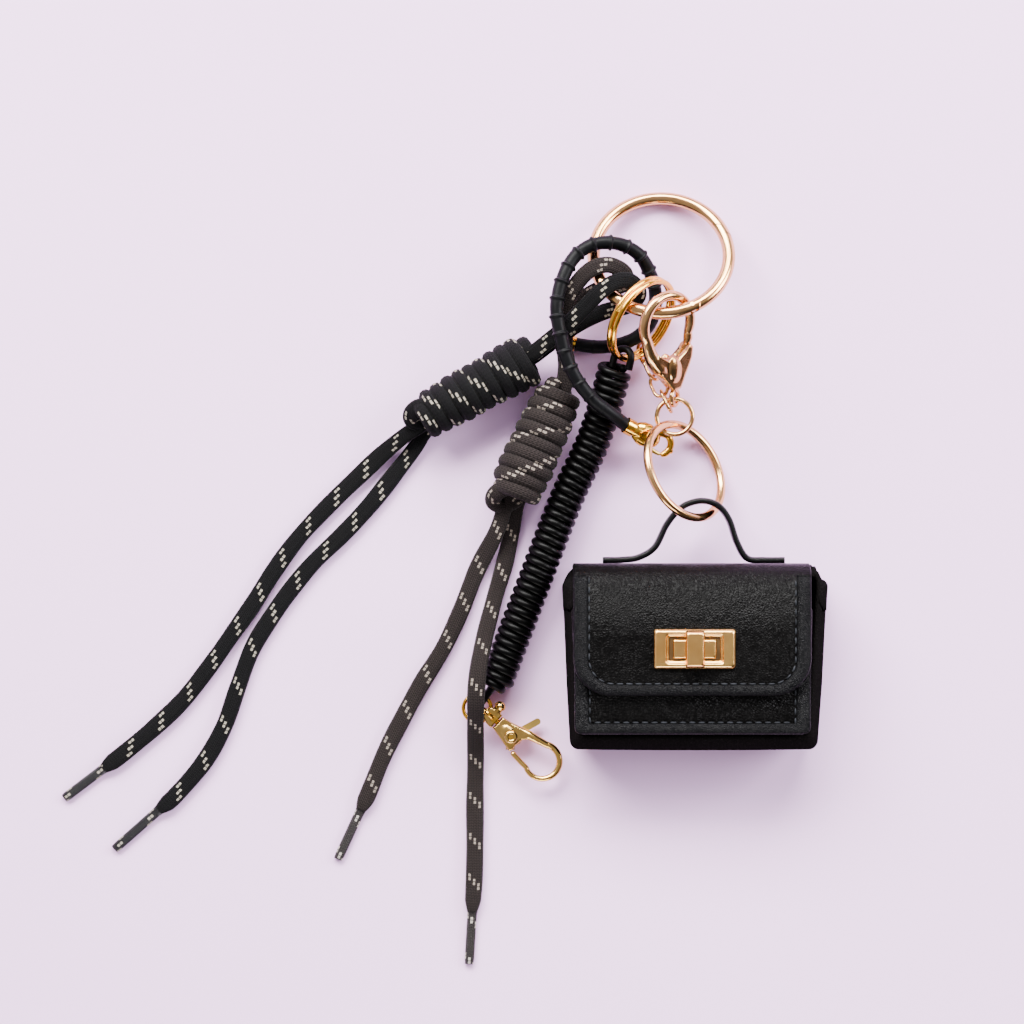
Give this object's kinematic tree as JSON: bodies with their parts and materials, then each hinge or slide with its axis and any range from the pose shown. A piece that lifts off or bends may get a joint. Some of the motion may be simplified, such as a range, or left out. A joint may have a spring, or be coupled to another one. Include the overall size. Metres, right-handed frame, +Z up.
{
  "type": "wristlet keychain",
  "caption": "Wristlet keychain: a spring gate ring carries knotted laces, a coil cord with a snap hook, a rubber wrist cord and a small flap bag on a lobster clasp.",
  "frame": {"origin": "centre of the bag's back face, which lies on the flat surface under the object", "axes": "+Z up from the surface, +Y from the bag along its strap towards the gate ring, +X towards the right of the bag seen from above"},
  "size_m": [0.2304, 0.2314, 0.0339],
  "materials": {
    "rose_gold": "polished rose gold plating on cast zinc alloy and wire",
    "yellow_gold": "polished yellow gold plating",
    "black_leather": "pebbled black leather",
    "lining": "plain woven lining",
    "steel": "plain steel",
    "coil_plastic": "glossy black plastic",
    "cord_rubber": "matte black rubber",
    "black_lace": "flat woven braid with pale flecks",
    "grey_lace": "flat woven braid with pale flecks",
    "aglet_plastic": "clear film shrunk over dark braid"
  },
  "bodies": {
    "keyring": {"gate_ring_body": "rose_gold", "ring_hinge_pin": "rose_gold", "split_ring": "yellow_gold", "lobster_body": "rose_gold", "lobster_pin": "rose_gold", "lobster_spring": "steel", "chain_link_1": "rose_gold", "chain_link_2": "rose_gold", "chain_link_3": "rose_gold", "chain_link_4": "rose_gold", "jump_ring": "rose_gold", "coil_cord": "coil_plastic", "coil_top_loop": "coil_plastic", "coil_end_loop": "coil_plastic", "coil_ring": "yellow_gold", "snap_eye": "yellow_gold", "wrist_cord": "cord_rubber", "wrist_cord_cap": "yellow_gold", "wrist_cord_end": "yellow_gold", "cord_clasp_body": "yellow_gold", "black_knot": "black_lace", "black_lace_loop": "black_lace", "black_tail_upper": "black_lace", "black_tail_lower": "black_lace", "black_aglet_upper": "aglet_plastic", "black_aglet_lower": "aglet_plastic", "grey_knot": "grey_lace", "grey_lace_loop": "grey_lace", "grey_tail_upper": "grey_lace", "grey_tail_lower": "grey_lace", "grey_aglet_upper": "aglet_plastic", "grey_aglet_lower": "aglet_plastic"},
    "gate": {"ring_gate": "rose_gold", "ring_gate_spring": "steel"},
    "lobster_arm": {"lobster_lever": "rose_gold"},
    "lobster_swivel": {"lobster_eye": "rose_gold"},
    "bag": {"charm_ring": "rose_gold", "bag_handle": "black_leather", "bag_back": "black_leather", "bag_top": "black_leather", "bag_gusset_left": "black_leather", "bag_gusset_right": "black_leather", "bag_base": "black_leather", "bag_front": "black_leather", "bag_lining": "lining", "front_magnet": "steel"},
    "flap": {"bag_flap": "black_leather", "flap_binding": "black_leather", "flap_magnet": "steel", "lock_frame": "rose_gold", "lock_block": "rose_gold", "lock_washer": "steel"},
    "turn_knob": {"lock_knob": "rose_gold"},
    "snap": {"snap_body": "yellow_gold", "snap_rivet": "yellow_gold", "snap_spring": "steel"},
    "snap_thumb_trigger": {"snap_trigger": "yellow_gold"},
    "clasp_arm": {"cord_clasp_lever": "yellow_gold"}
  },
  "joints": [
    {"name": "gate_hinge", "type": "hinge", "parent": "keyring", "child": "gate", "pos_m": [-0.00145, 0.10321, 0.01972], "axis": [-0.0266, 0.461, 0.887], "range_deg": [0, 20], "stiffness_Nm_per_rad": 0.03, "springref_deg": -28.65},
    {"name": "lobster_lever_hinge", "type": "hinge", "parent": "keyring", "child": "lobster_arm", "pos_m": [-0.00409, 0.08768, 0.01157], "axis": [0.5826, -0.2712, 0.7662], "range_deg": [0, 22], "stiffness_Nm_per_rad": 0.01, "springref_deg": -28.65},
    {"name": "lobster_eye_swivel", "type": "hinge", "parent": "keyring", "child": "lobster_swivel", "pos_m": [-0.00628, 0.0788, 0.0101], "axis": [-0.1129, 0.9065, 0.4067], "range_deg": [-12, 12]},
    {"name": "bag_swing", "type": "hinge", "parent": "keyring", "child": "bag", "pos_m": [-0.006, 0.0713, 0.0089], "axis": [0, 0, 1], "range_deg": [0, 30]},
    {"name": "flap_hinge", "type": "hinge", "parent": "bag", "child": "flap", "pos_m": [-0.0019, 0.0268, 0.0258], "axis": [-1, 0, 0], "range_deg": [0, 110]},
    {"name": "lock_turn", "type": "hinge", "parent": "flap", "child": "turn_knob", "pos_m": [-0.0013, 0.0033, 0.0294], "axis": [0, 0, 1], "range_deg": [0, 90]},
    {"name": "snap_swivel", "type": "hinge", "parent": "keyring", "child": "snap", "pos_m": [-0.05912, -0.01927, 0.0039], "axis": [0.7361, -0.6769, 0], "continuous": true},
    {"name": "snap_trigger_hinge", "type": "hinge", "parent": "snap", "child": "snap_thumb_trigger", "pos_m": [-0.0546, -0.0241, 0.0039], "axis": [0, 0, 1], "range_deg": [0, 25], "stiffness_Nm_per_rad": 0.008, "springref_deg": -28.65},
    {"name": "clasp_lever_hinge", "type": "hinge", "parent": "keyring", "child": "clasp_arm", "pos_m": [-0.01428, 0.06408, 0.00817], "axis": [0.2728, -0.1451, 0.9511], "range_deg": [0, 20], "stiffness_Nm_per_rad": 0.004, "springref_deg": -28.65}
  ]
}
